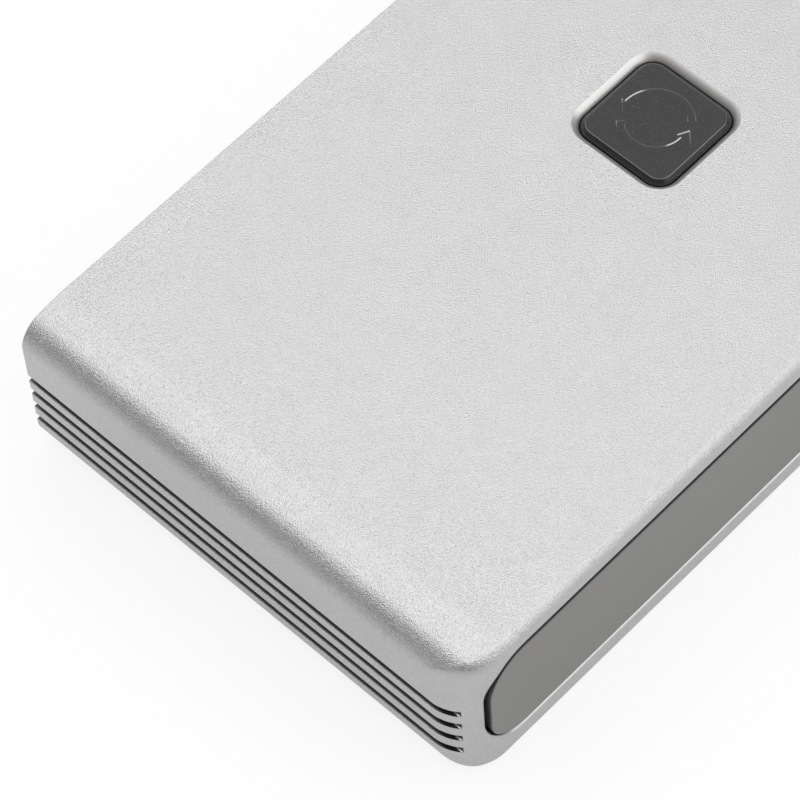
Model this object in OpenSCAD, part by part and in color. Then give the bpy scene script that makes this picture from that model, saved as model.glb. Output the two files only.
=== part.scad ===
// Video switch box: an extruded aluminium sleeve with a circuit board on rails inside it.
// X runs along the length, the front faces -Y, Z is up. Origin: middle of the footprint, on the table.

/* [Case] */
// Length of the case, from end to end
case_l = 121; // [112:1:160]
// Depth of the case, front to rear
case_d = 60; // [54:1:80]
// Height of the case without its feet
case_h = 19.6; // [18:0.2:26]
// Thickness of the roof
roof_t = 2.2; // [1.6:0.1:2.6]
// Thickness of the floor
floor_t = 2.4; // [2:0.1:3.2]
// Thickness of the two end walls
end_t = 3; // [2.6:0.1:4]
// Radius of the top edges along the ends
top_r = 3.2; // [2:0.1:5]
// Radius of the soft run from the roof into those edges
shoulder_r = 18; // [10:1:30]
// Angle through which the soft run turns
shoulder_turn = 12; // [4:1:16]
// Radius of the bottom edges along the ends
bottom_r = 2.2; // [0.8:0.1:2.8]
// Radius of the upright front corners
front_r = 5; // [3:0.1:7]
// Corner radius of the tube's inside
mouth_r = 5.2; // [3:0.1:6]

/* [Grooves] */
// Number of grooves along each end
groove_n = 4; // [0:1:4]
// Height of one groove
groove_h = 0.95; // [0.5:0.05:1.4]
// Distance from groove to groove
groove_pitch = 2.4; // [1.8:0.1:2.8]
// Depth of a groove
groove_depth = 1.1; // [0.5:0.05:1.8]
// Height of the lowest groove's middle over the underside
groove_z = 3.5; // [3.2:0.1:5]

/* [Button] */
// Width of the square key
button_w = 12; // [9:0.1:14]
// Corner radius of the key
button_r = 2; // [1:0.1:3]
// Width of the bevel round the key's top
button_bevel = 0.5; // [0.2:0.05:0.8]
// Depth of the key's top under the roof
button_sink = 0.2; // [0:0.05:0.5]
// Gap between key and opening
button_gap = 0.15; // [0.1:0.05:0.4]
// Radius of the bright rounding round the opening
opening_round = 0.72; // [0.3:0.02:1]
// How far the key's flange reaches under the roof
flange_reach = 1.4; // [0.8:0.1:2]
// Thickness of the key's flange
flange_t = 1; // [0.6:0.1:1.5]
// Diameter of the key's stem
stem_d = 5; // [4:0.1:7]
// Travel of the key
press_travel = 0.5; // [0.3:0.05:0.5]
// Middle diameter of the ring of arrows
ring_d = 7.2; // [5:0.1:8]
// Width of the arrows' band
ring_band = 0.9; // [0.4:0.05:1.2]
// Width of an arrow's head
arrow_w = 1.9; // [1.2:0.1:2.4]
// Depth of the arrows in the key
ring_depth = 0.2; // [0.05:0.01:0.3]

/* [Front panel] */
// Thickness of the smoked panel
panel_t = 2; // [1.2:0.1:3]
// Depth of the panel's face behind the front
panel_inset = 0.1; // [0.05:0.05:0.8]
// Gap at the panel's ends and round the carrier
panel_gap = 0.4; // [0.05:0.05:0.5]
// Gap over the panel, which stands on the mouth's floor
panel_top_gap = 0.65; // [0.1:0.05:0.8]
// Thickness of the adhesive tape behind the panel
tape_t = 0.4; // [0.2:0.1:0.8]
// Width of the tape's border
tape_w = 2; // [1:0.1:3]
// Thickness of the panel carrier
carrier_t = 1.8; // [1.2:0.1:3]
// Diameter of a light guide
guide_d = 2; // [1.5:0.1:2.5]
// Distance from lamp to lamp
lamp_pitch = 8; // [5:0.5:10]

/* [Rear panel] */
// Thickness of the rear panel
rear_t = 1.5; // [1.2:0.1:2.5]
// Depth of the rear panel behind the case's rear edge
rear_inset = 0.6; // [0.5:0.1:1.5]
// Gap round the rear panel
rear_gap = 0.15; // [0.05:0.05:0.3]
// Gap round the sockets in the rear panel
cut_gap = 0.3; // [0.1:0.05:0.5]
// Diameter of a panel screw
screw_d = 2.5; // [2:0.1:2.8]
// Diameter of a panel screw's head
screw_head_d = 4.6; // [3.8:0.1:5]
// Length of a panel screw
screw_l = 7; // [5:0.5:8]
// Wall round a screw's hole
boss_wall = 1.2; // [0.8:0.1:1.5]
// Metal between a screw's head and the panel's edge
screw_edge = 1.6; // [1:0.1:2.5]

/* [Board] */
// Thickness of the board
board_t = 1.6; // [1:0.1:1.6]
// Height of the board over the floor
board_lift = 1.8; // [1.4:0.1:2.4]
// How far the board's edge sits in its rails
rail_hold = 1.6; // [1:0.1:2.5]
// Thickness of the upper rails
rail_t = 1; // [0.8:0.1:1.4]

/* [Video sockets] */
// Inside width of a socket
hdmi_w = 14; // [13.9:0.1:14.4]
// Inside height of a socket
hdmi_h = 4.6; // [4.5:0.05:4.8]
// Wall of a socket's shell
hdmi_t = 0.35; // [0.2:0.05:0.5]
// Length of a socket's shell
hdmi_len = 11.5; // [10:0.5:14]
// Size of the slanted lower corners
hdmi_slant = 1.5; // [1:0.1:1.8]
// Distance from socket to socket
hdmi_pitch = 19.5; // [17:0.5:22]
// How far a socket stands out of the rear panel
hdmi_proud = 0.4; // [0:0.1:0.5]
// Width of a socket's tongue
tongue_w = 11.2; // [10.8:0.1:11.8]
// Thickness of a socket's tongue
tongue_t = 1.8; // [1.4:0.1:2]

/* [Power socket] */
// Bore of the power socket
jack_bore = 5.9; // [5.6:0.1:6.4]
// Depth of the bore
jack_depth = 9.5; // [8:0.5:10.5]
// Wall round the bore
jack_wall = 1.05; // [0.8:0.05:1.2]
// Diameter of the centre pin
jack_pin_d = 2; // [1.3:0.1:2.5]
// Length of the moulded body
jack_len = 13; // [12.5:0.5:15]
// Distance from the power socket to the first video socket
jack_gap = 18; // [14.5:0.5:20]

/* [Feet] */
// Diameter of a foot
foot_d = 8; // [6:0.5:10]
// How far a foot stands out of the underside
foot_h = 1.2; // [0.8:0.1:3]
// Depth of a foot's seat
foot_seat = 0.4; // [0.2:0.1:0.8]
// Distance from a foot's middle to the case's edges
foot_inset = 9; // [8:0.5:14]

/* [Hidden] */
$fn = 64;

// Small fits shared by the pieces
fit = 0.05;
rail_gap = 0.1;
board_gap = 0.3;
over = 1;

// Case levels and planes
case_z = foot_h;
roof_z = case_z + case_h;
floor_z = case_z + floor_t;
ceiling_z = roof_z - roof_t;
front_y = -case_d / 2;
rear_y = case_d / 2;
mouth_w = case_l - 2 * end_t;
mouth_h = case_h - roof_t - floor_t;
mouth_z = floor_z + mouth_h / 2;
wall_root = 0.6;
shoulder_reach = (shoulder_r - top_r) * sin(shoulder_turn);
edge_drop = shoulder_r - (shoulder_r - top_r) * cos(shoulder_turn);

// Front stack, from the panel's face inwards
panel_y = front_y + panel_inset;
tape_y = panel_y + panel_t;
carrier_y = tape_y + tape_t;
carrier_rear_y = carrier_y + carrier_t;

// Rear stack
rear_face_y = rear_y - rear_inset;
rear_inner_y = rear_face_y - rear_t;

// Board
board_z = floor_z + board_lift;
board_top = board_z + board_t;
mouth_rise = max(0, mouth_r - board_lift);
board_play = 0.4;
board_side_gap = mouth_r - sqrt(mouth_r * mouth_r - mouth_rise * mouth_rise) + board_play;
board_w = mouth_w - 2 * board_side_gap;
board_front_y = carrier_rear_y + board_gap;
board_rear_y = rear_inner_y - board_gap;
rail_front_y = carrier_rear_y + fit;
rail_rear_y = rear_inner_y - fit;
rail_reach = board_side_gap + rail_hold;

// Rear panel screws
screw_hole_d = screw_d + 2 * fit;
boss_d = screw_hole_d + 2 * boss_wall;
boss_x = mouth_w / 2 - rear_gap - screw_edge - screw_head_d / 2;
boss_lift = 0.2;
boss_z = board_top + rail_gap + rail_t + boss_lift + boss_d / 2;
hole_spare = 0.5;
boss_end = 1;
boss_l = screw_l + hole_spare + boss_end - rear_t;
head_h = (screw_head_d - screw_d) / 2;

// Sockets: the power socket and the four video sockets share the rear as one centred row
socket_span = jack_gap + 3 * hdmi_pitch;
jack_x = -socket_span / 2;
output_x = jack_x + jack_gap;
input_1_x = output_x + hdmi_pitch;
input_2_x = input_1_x + hdmi_pitch;
input_3_x = input_2_x + hdmi_pitch;
shell_w = hdmi_w + 2 * hdmi_t;
shell_h = hdmi_h + 2 * hdmi_t;
shell_slant = hdmi_slant + (2 - sqrt(2)) * hdmi_t;
shell_y = rear_face_y + hdmi_proud;
shell_inner_y = shell_y - hdmi_len;
leg_w = 1.2;
leg_tail = 0.5;
leg_pitch = 4.2;
leg_ys = [shell_inner_y + leg_w, shell_inner_y + leg_w + leg_pitch];
block_t = 4;
tongue_setback = 1.2;
tongue_z = board_top + shell_h / 2;
contact_w = 0.45;
contact_t = 0.12;
contact_pitch = 1;
contact_setback = 0.5;
nose_d = jack_bore + 2 * jack_wall;
jack_shoulder = 0.5;
jack_w = nose_d + 2 * jack_shoulder;
jack_z = board_top + jack_w / 2;
jack_proud = 0.3;
jack_face_y = rear_face_y + jack_proud;

// Key and push switch
opening_w = button_w + 2 * button_gap;
opening_r = button_r + button_gap;
key_top = roof_z - button_sink;
flange_top = ceiling_z - fit;
flange_z = flange_top - flange_t;
switch_w = 6.2;
switch_h = 3.4;
cover_t = 0.3;
plunger_d = 3.4;
plunger_gap = 0.08;
plunger_flange_d = 4.4;
plunger_flange_t = 0.6;
plunger_h = 7;
plunger_top = board_top + plunger_h;
switch_top = board_top + switch_h;
cavity_d = 4.8;
dome_room = 0.2;
cavity_depth = plunger_flange_t + press_travel + dome_room;
plunger_z = switch_top - fit - plunger_flange_t;
dome_d = 4.4;
dome_t = 0.12;
dome_z = switch_top - cavity_depth;
dome_h = plunger_z - fit / 2 - dome_z;
dome_r = (dome_d * dome_d / 4 + dome_h * dome_h) / (2 * dome_h);

// Parts on the board: middle points, and sizes along X, Y and Z
chip_at = [18, 1];
chip_size = [10, 10, 1];
pad_t = 0.5;
sink_size = [14, 14, 5];
sink_base = 1.5;
fin_n = 6;
fin_t = 1;
controller_at = [-17, 2];
controller_size = [7, 7, 0.9];
crystal_at = [-17, -7];
crystal_size = [5, 3.2, 1.2];
regulator_at = [-34, 7];
regulator_size = [6.5, 3.5, 1.6];
inductor_at = [-34, -1];
inductor_size = [6, 6, 3];
capacitor_at = [[-46, 8], [-46, 0], [-46, -8]];
capacitor_d = 5;
capacitor_h = 5.8;
capacitor_base = [5.3, 5.3, 0.8];
array_size = [2.5, 1, 0.6];
array_gap = 2.2;
chip_part_size = [1.6, 0.8, 0.5];
chip_part_at = [
  [-26, 4], [-26, 1], [-26, -2], [-8, 7], [8, 7],
  [30, 6], [30, 2], [30, -2], [8, -8], [26, -9]
];

// Lamps and infrared receiver behind the front panel
lamp_size = [2.4, 2, 1.6];
lamp_z = board_top + rail_gap + guide_d / 2;
lamp_y = board_front_y + fit;
receiver_x = 38;
receiver_size = [6, 2.6, 6.6];
receiver_lift = 0.4;
lens_r = 2.2;
lens_lift = 3.6;
lens_root = 0.5;
lens_z = board_top + receiver_lift + lens_lift;
receiver_y = board_front_y + lens_r;
window_margin = 0.6;
window_d = 2 * (lens_r + window_margin);
lead_w = 0.5;
lead_pitch = 1.8;

// Plain shapes

module rounded_rect(w, h, r) {
  square([w, h - 2 * r], center = true);
  square([w - 2 * r, h], center = true);
  for (x = [-1, 1], y = [-1, 1]) {
    translate([x * (w / 2 - r), y * (h / 2 - r)]) circle(r);
  }
}

// A profile drawn in X and Z, drawn out along Y
module run_y(y0, y1) {
  translate([0, y1, 0]) rotate([90, 0, 0]) linear_extrude(y1 - y0) children();
}

// A box that stands on a level, centred on a point
module block(at, size, z) {
  translate([at[0] - size[0] / 2, at[1] - size[1] / 2, z]) cube(size);
}

// A rounded square whose outline grows or shrinks by a bevel as it rises
module bevelled_square(w, r, grow, h) {
  straight = w / 2 - r;
  side = [[-w / 2, 0], [w / 2, 0], [w / 2 + grow, h], [-w / 2 - grow, h]];
  for (turn = [0, 90]) {
    rotate([0, 0, turn]) run_y(-straight, straight) polygon(side);
  }
  for (x = [-1, 1], y = [-1, 1]) {
    translate([x * straight, y * straight, 0]) cylinder(h = h, r1 = r, r2 = r + grow);
  }
}

module flared_square(w, r, flare) {
  straight = w / 2 - r;
  arc = [for (turn = [0 : 15 : 75]) flare * [1 - cos(turn), sin(turn)]];
  edge = concat(arc, [[flare, flare], [flare, flare + over]]);
  far_edge = [for (p = edge) [-w / 2 - p[0], p[1]]];
  side = concat([for (p = edge) [w / 2 + p[0], p[1]]], [for (i = [len(edge) - 1 : -1 : 0]) far_edge[i]]);
  corner = concat([[0, 0]], [for (p = edge) [r + p[0], p[1]]], [[0, flare + over]]);
  for (turn = [0, 90]) {
    rotate([0, 0, turn]) run_y(-straight, straight) polygon(side);
  }
  for (x = [-1, 1], y = [-1, 1]) {
    translate([x * straight, y * straight, 0]) rotate_extrude() polygon(corner);
  }
}

// Case sleeve

module mouth_profile(gap) {
  translate([0, mouth_z]) rounded_rect(mouth_w - 2 * gap, mouth_h - 2 * gap, mouth_r - gap);
}

module sleeve_profile() {
  half = case_l / 2;
  flat = half - top_r - shoulder_reach;
  run = shoulder_r * sin(shoulder_turn);
  edge_z = roof_z - edge_drop;
  translate([-half, case_z + bottom_r]) square([case_l, edge_z - case_z - bottom_r]);
  translate([-half + bottom_r, case_z]) square([case_l - 2 * bottom_r, bottom_r]);
  translate([-flat, edge_z]) square([2 * flat, edge_drop]);
  for (x = [-1, 1]) {
    translate([x * (half - bottom_r), case_z + bottom_r]) circle(bottom_r);
    translate([x * (half - top_r), edge_z]) circle(top_r);
    intersection() {
      translate([x * flat, roof_z - shoulder_r]) circle(shoulder_r);
      translate([x * (flat + run / 2), roof_z - edge_drop / 2]) square([run, edge_drop], center = true);
    }
  }
}

module sleeve_plan() {
  half = case_l / 2;
  translate([-half, front_y + front_r]) square([case_l, case_d - front_r]);
  translate([-half + front_r, front_y]) square([case_l - 2 * front_r, front_r]);
  for (x = [-1, 1]) {
    translate([x * (half - front_r), front_y + front_r]) circle(front_r);
  }
}

module end_grooves() {
  for (i = [0 : 1 : groove_n - 1], x = [-1, 1]) {
    z = case_z + groove_z + i * groove_pitch;
    translate([x * case_l / 2, 0, z]) cube([2 * groove_depth, case_d + 2 * over, groove_h], center = true);
  }
}

// Rails for the board's two side edges, drawn out with the sleeve
module rails() {
  outer = mouth_w / 2 + wall_root;
  width = rail_reach + wall_root;
  run = rail_rear_y - rail_front_y;
  upper = board_top + rail_gap;
  for (x = [-1, 1]) {
    left = x > 0 ? outer - width : -outer;
    translate([left, rail_front_y, floor_z - wall_root])
      cube([width, run, board_z - fit - floor_z + wall_root]);
    translate([left, rail_front_y, upper]) cube([width, run, rail_t]);
  }
}

module screw_bosses() {
  outer = mouth_w / 2 + wall_root;
  for (x = [-1, 1]) {
    left = x > 0 ? boss_x : -outer;
    translate([left, rail_rear_y - boss_l, boss_z - boss_d / 2]) cube([outer - boss_x, boss_l, boss_d]);
    translate([x * boss_x, rail_rear_y, boss_z]) rotate([90, 0, 0]) cylinder(h = boss_l, d = boss_d);
  }
}

module screw_holes() {
  for (x = [-1, 1]) {
    translate([x * boss_x, rail_rear_y + over, boss_z])
      rotate([90, 0, 0]) cylinder(h = boss_l + over - boss_end, d = screw_hole_d);
  }
}

module foot_places() {
  for (x = [-1, 1], y = [-1, 1]) {
    translate([x * (case_l / 2 - foot_inset), y * (case_d / 2 - foot_inset), 0]) children();
  }
}

module case_sleeve() {
  color("silver") difference() {
    union() {
      difference() {
        intersection() {
          run_y(front_y, rear_y) sleeve_profile();
          linear_extrude(roof_z + over) sleeve_plan();
        }
        run_y(front_y - over, rear_y + over) mouth_profile(0);
      }
      rails();
      screw_bosses();
    }
    end_grooves();
    screw_holes();
    translate([0, 0, ceiling_z - over]) linear_extrude(roof_t + 2 * over)
      rounded_rect(opening_w, opening_w, opening_r);
    translate([0, 0, roof_z - opening_round]) flared_square(opening_w, opening_r, opening_round);
    foot_places() translate([0, 0, case_z - over]) cylinder(h = foot_seat + over, d = foot_d + 2 * fit);
  }
}

// Front panel, its tape, its carrier and the light guides

module panel_profile(border) {
  h = mouth_h - fit - panel_top_gap;
  translate([0, floor_z + fit + h / 2])
    rounded_rect(mouth_w - 2 * (panel_gap + border), h - 2 * border, mouth_r - panel_gap - border);
}

module front_panel() {
  color("dimgray") run_y(panel_y, panel_y + panel_t) panel_profile(0);
}

module panel_tape() {
  color("black") run_y(tape_y, tape_y + tape_t) difference() {
    panel_profile(0);
    panel_profile(tape_w);
  }
}

function lamp_x(i) = (i - 1.5) * lamp_pitch;

module panel_carrier() {
  color([0.08, 0.08, 0.08]) difference() {
    run_y(carrier_y, carrier_rear_y) mouth_profile(panel_gap);
    for (i = [0 : 3]) {
      translate([lamp_x(i), carrier_rear_y + over, lamp_z])
        rotate([90, 0, 0]) cylinder(h = carrier_t + 2 * over, d = guide_d + 2 * fit);
    }
    translate([receiver_x, carrier_rear_y + over, lens_z])
      rotate([90, 0, 0]) cylinder(h = carrier_t + 2 * over, d = window_d);
  }
}

module light_guides() {
  length = carrier_rear_y - tape_y;
  color("white") for (i = [0 : 3]) {
    translate([lamp_x(i), carrier_rear_y, lamp_z])
      rotate([90, 0, 0]) cylinder(h = length - fit, d = guide_d);
  }
}

// Rear panel and its screws

module socket_xs() {
  for (x = [output_x, input_1_x, input_2_x, input_3_x]) {
    translate([x, 0, 0]) children();
  }
}

module rear_panel() {
  color([0.1, 0.1, 0.11]) difference() {
    run_y(rear_inner_y, rear_face_y) mouth_profile(rear_gap);
    socket_xs() translate([-shell_w / 2 - cut_gap, rear_inner_y - over, board_top - cut_gap])
      cube([shell_w + 2 * cut_gap, rear_t + 2 * over, shell_h + 2 * cut_gap]);
    translate([jack_x, rear_face_y + over, jack_z])
      rotate([90, 0, 0]) cylinder(h = rear_t + 2 * over, d = nose_d + 2 * cut_gap);
    for (x = [-1, 1]) {
      translate([x * boss_x, rear_face_y, boss_z]) rotate([90, 0, 0]) {
        cylinder(h = rear_t + over, d = screw_hole_d);
        cylinder(h = head_h, d1 = screw_head_d + 2 * fit, d2 = screw_hole_d);
      }
    }
  }
}

module rear_screws() {
  slot_w = 0.6;
  slot_l = 2.4;
  slot_depth = 0.7;
  color("dimgray") for (x = [-1, 1]) {
    translate([x * boss_x, rear_face_y, boss_z]) rotate([90, 0, 0]) difference() {
      union() {
        cylinder(h = screw_l, d = screw_d);
        cylinder(h = head_h, d1 = screw_head_d, d2 = screw_d);
      }
      for (turn = [0, 90]) {
        rotate([0, 0, turn]) cube([slot_l, slot_w, 2 * slot_depth], center = true);
      }
    }
  }
}

// Circuit board

module main_board() {
  leg_x = shell_w / 2 - hdmi_t / 2;
  slot = [hdmi_t + 2 * rail_gap, leg_w + 2 * rail_gap, board_t + 2 * over];
  color("darkgreen") difference() {
    translate([-board_w / 2, board_front_y, board_z]) cube([board_w, board_rear_y - board_front_y, board_t]);
    socket_xs() for (x = [-leg_x, leg_x], y = leg_ys) {
      block([x, y], slot, board_z - over);
    }
  }
}

// Video sockets: steel shell, insulator with its tongue, contacts on the tongue

module socket_profile(w, h, slant) {
  half = w / 2;
  polygon([[-half, h], [-half, slant], [-half + slant, 0], [half - slant, 0], [half, slant], [half, h]]);
}

module socket_shell(x) {
  color("lightgray") translate([x, 0, board_top]) {
    run_y(shell_inner_y, shell_y) difference() {
      socket_profile(shell_w, shell_h, shell_slant);
      translate([0, hdmi_t]) socket_profile(hdmi_w, hdmi_h, hdmi_slant);
    }
    for (side = [-1, 1], y = leg_ys) {
      block([side * (shell_w - hdmi_t) / 2, y], [hdmi_t, leg_w, board_t + leg_tail + shell_slant + over],
        -board_t - leg_tail);
    }
  }
}

module socket_insulator(x) {
  slant = hdmi_slant - (2 - sqrt(2)) * fit;
  tongue_l = hdmi_len - tongue_setback;
  color([0.06, 0.06, 0.06]) translate([x, 0, 0]) {
    translate([0, 0, board_top + hdmi_t + fit]) run_y(shell_inner_y, shell_inner_y + block_t)
      socket_profile(hdmi_w - 2 * fit, hdmi_h - 2 * fit, slant);
    translate([-tongue_w / 2, shell_inner_y, tongue_z - tongue_t / 2]) cube([tongue_w, tongue_l, tongue_t]);
  }
}

module socket_contacts(x) {
  length = hdmi_len - tongue_setback - block_t - contact_setback;
  size = [contact_w, length, contact_t];
  y = shell_inner_y + block_t + length / 2;
  color("gold") translate([x, 0, 0]) {
    for (i = [0 : 9]) {
      block([(i - 4.5) * contact_pitch, y], size, tongue_z + tongue_t / 2);
    }
    for (i = [0 : 8]) {
      block([(i - 4) * contact_pitch, y], size, tongue_z - tongue_t / 2 - contact_t);
    }
  }
}

// Power socket

module power_socket_body() {
  shoulder_y = rear_inner_y - board_gap;
  color([0.07, 0.07, 0.07]) difference() {
    union() {
      translate([jack_x - jack_w / 2, jack_face_y - jack_len, board_top])
        cube([jack_w, shoulder_y - jack_face_y + jack_len, jack_w]);
      translate([jack_x, jack_face_y, jack_z]) rotate([90, 0, 0]) cylinder(h = jack_len - over, d = nose_d);
    }
    translate([jack_x, jack_face_y + over, jack_z])
      rotate([90, 0, 0]) cylinder(h = jack_depth + over, d = jack_bore);
  }
}

module power_socket_pin() {
  pin_setback = 0.8;
  color("gold") translate([jack_x, jack_face_y - pin_setback, jack_z]) rotate([90, 0, 0])
    cylinder(h = jack_depth - pin_setback, d = jack_pin_d);
}

// Select button: the key, with its flange under the roof and its stem on the push switch

module ring_of_arrows() {
  tail_turn = 130;
  arc = 142;
  head_turn = 21;
  r = ring_d / 2;
  h = 2 * ring_depth;
  for (turn = [0, 180]) {
    rotate([0, 0, tail_turn + turn]) {
      rotate_extrude(angle = arc) translate([r - ring_band / 2, 0]) square([ring_band, h]);
      rotate([0, 0, arc]) linear_extrude(h)
        polygon([[r - arrow_w / 2, 0], [r + arrow_w / 2, 0], [r * cos(head_turn), r * sin(head_turn)]]);
    }
  }
}

module select_button() {
  straight_h = key_top - button_bevel - flange_top;
  flange_w = button_w + 2 * flange_reach;
  color([0.27, 0.27, 0.27]) difference() {
    union() {
      translate([0, 0, flange_top - fit]) linear_extrude(straight_h + fit)
        rounded_rect(button_w, button_w, button_r);
      translate([0, 0, key_top - button_bevel])
        bevelled_square(button_w, button_r, -button_bevel, button_bevel);
      translate([0, 0, flange_z]) linear_extrude(flange_t)
        rounded_rect(flange_w, flange_w, button_r + flange_reach);
      translate([0, 0, plunger_top]) cylinder(h = flange_z - plunger_top + fit, d = stem_d);
    }
    translate([0, 0, key_top - ring_depth]) ring_of_arrows();
  }
}

// Push switch on the board

module push_switch_base() {
  color([0.1, 0.1, 0.1]) difference() {
    block([0, 0], [switch_w, switch_w, switch_h], board_top);
    translate([0, 0, dome_z]) cylinder(h = cavity_depth + over, d = cavity_d);
  }
}

module push_switch_cover() {
  tab_w = 2;
  tab_h = 2;
  color("silver") difference() {
    union() {
      block([0, 0], [switch_w, switch_w, cover_t], switch_top);
      for (x = [-1, 1]) {
        block([x * (switch_w + cover_t) / 2, 0], [cover_t, tab_w, tab_h + cover_t], switch_top - tab_h);
      }
    }
    translate([0, 0, switch_top - over]) cylinder(h = cover_t + 2 * over, d = plunger_d + 2 * plunger_gap);
  }
}

module push_switch_plunger() {
  color("white") {
    translate([0, 0, plunger_z]) cylinder(h = plunger_flange_t, d = plunger_flange_d);
    translate([0, 0, plunger_z]) cylinder(h = plunger_top - plunger_z, d = plunger_d);
  }
}

module push_switch_dome() {
  color("silver") translate([0, 0, dome_z]) intersection() {
    translate([0, 0, dome_h - dome_r]) difference() {
      sphere(dome_r);
      sphere(dome_r - dome_t);
    }
    cylinder(h = dome_h + over, d = dome_d + over);
  }
}

module push_switch_terminals() {
  size = [0.7, 1.4, 0.2];
  spread = 2.25;
  color("lightgray") for (x = [-1, 1], y = [-1, 1]) {
    block([x * spread, y * (switch_w + size[1]) / 2], size, board_top);
  }
}

// Infrared receiver and indicator lamps behind the front panel

module infrared_receiver() {
  color([0.12, 0.05, 0.07]) {
    block([receiver_x, receiver_y + receiver_size[1] / 2], receiver_size, board_top + receiver_lift);
    intersection() {
      translate([receiver_x, receiver_y, lens_z]) sphere(lens_r);
      translate([receiver_x - lens_r, receiver_y - lens_r, lens_z - lens_r])
        cube([2 * lens_r, lens_r + lens_root, 2 * lens_r]);
    }
  }
}

module infrared_leads() {
  size = [lead_w, lead_w, receiver_lift];
  color("lightgray") for (i = [-1 : 1]) {
    block([receiver_x + i * lead_pitch, receiver_y + receiver_size[1] / 2], size, board_top);
  }
}

module lamp(i) {
  color("ivory") {
    block([lamp_x(i), lamp_y + lamp_size[1] / 2], lamp_size, board_top);
    translate([lamp_x(i), lamp_y, lamp_z]) rotate([90, 0, 0]) cylinder(h = board_gap, d = guide_d - 2 * fit);
  }
}

// Parts on the board

module switching_chip() {
  pin = [0.3, 0.6, 0.2];
  pin_pitch = 1;
  color([0.12, 0.12, 0.13]) {
    block(chip_at, chip_size, board_top);
    translate([chip_at[0], chip_at[1], 0]) for (turn = [0 : 90 : 270], i = [-4 : 4]) {
      rotate([0, 0, turn]) block([i * pin_pitch, chip_size[1] / 2 + pin[1] / 2 - fit], pin, board_top);
    }
  }
}

module thermal_pad() {
  color("lightblue") block(chip_at, [chip_size[0], chip_size[1], pad_t], board_top + chip_size[2]);
}

module heat_sink() {
  base_z = board_top + chip_size[2] + pad_t;
  step = (sink_size[0] - fin_t) / (fin_n - 1);
  first = chip_at[0] - sink_size[0] / 2 + fin_t / 2;
  color([0.2, 0.2, 0.22]) {
    block(chip_at, [sink_size[0], sink_size[1], sink_base], base_z);
    for (i = [0 : fin_n - 1]) {
      block([first + i * step, chip_at[1]], [fin_t, sink_size[1], sink_size[2]], base_z);
    }
  }
}

module controller_chip() {
  color([0.12, 0.12, 0.13]) block(controller_at, controller_size, board_top);
}

module crystal() {
  color("lightgray") block(crystal_at, crystal_size, board_top);
}

module regulator() {
  tab = [3, 1.5, 0.3];
  color([0.12, 0.12, 0.13]) {
    block(regulator_at, regulator_size, board_top);
    block([regulator_at[0], regulator_at[1] + (regulator_size[1] + tab[1]) / 2 - fit], tab, board_top);
  }
}

module inductor() {
  color([0.25, 0.25, 0.27]) block(inductor_at, inductor_size, board_top);
}

module capacitors() {
  color("gainsboro") for (at = capacitor_at) {
    block(at, capacitor_base, board_top);
    translate([at[0], at[1], board_top]) cylinder(h = capacitor_h, d = capacitor_d);
  }
}

module surge_arrays() {
  y = shell_inner_y - array_gap;
  color([0.12, 0.12, 0.13]) socket_xs() for (x = [-4, 0, 4]) {
    block([x, y], array_size, board_top);
  }
}

module chip_parts() {
  color("tan") for (at = chip_part_at) {
    block(at, chip_part_size, board_top);
  }
}

// Rubber feet

module foot(x, y) {
  color([0.1, 0.1, 0.1]) translate([x * (case_l / 2 - foot_inset), y * (case_d / 2 - foot_inset), 0])
    cylinder(h = foot_h + foot_seat, d = foot_d);
}

case_sleeve();
front_panel();
panel_tape();
panel_carrier();
light_guides();
rear_panel();
rear_screws();
main_board();
socket_shell(input_1_x);  // input_1_shell
socket_shell(input_2_x);  // input_2_shell
socket_shell(input_3_x);  // input_3_shell
socket_shell(output_x);  // output_shell
socket_insulator(input_1_x);  // input_1_insulator
socket_insulator(input_2_x);  // input_2_insulator
socket_insulator(input_3_x);  // input_3_insulator
socket_insulator(output_x);  // output_insulator
socket_contacts(input_1_x);  // input_1_contacts
socket_contacts(input_2_x);  // input_2_contacts
socket_contacts(input_3_x);  // input_3_contacts
socket_contacts(output_x);  // output_contacts
power_socket_body();
power_socket_pin();
select_button();
push_switch_base();
push_switch_cover();
push_switch_plunger();
push_switch_dome();
push_switch_terminals();
infrared_receiver();
infrared_leads();
lamp(0);  // power_lamp
lamp(1);  // input_1_lamp
lamp(2);  // input_2_lamp
lamp(3);  // input_3_lamp
switching_chip();
thermal_pad();
heat_sink();
controller_chip();
crystal();
regulator();
inductor();
capacitors();
surge_arrays();
chip_parts();
foot(-1, -1);  // foot_front_left
foot(1, -1);  // foot_front_right
foot(-1, 1);  // foot_rear_left
foot(1, 1);  // foot_rear_right
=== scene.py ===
import math

import bmesh
import bpy
from mathutils import Matrix, Vector


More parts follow.
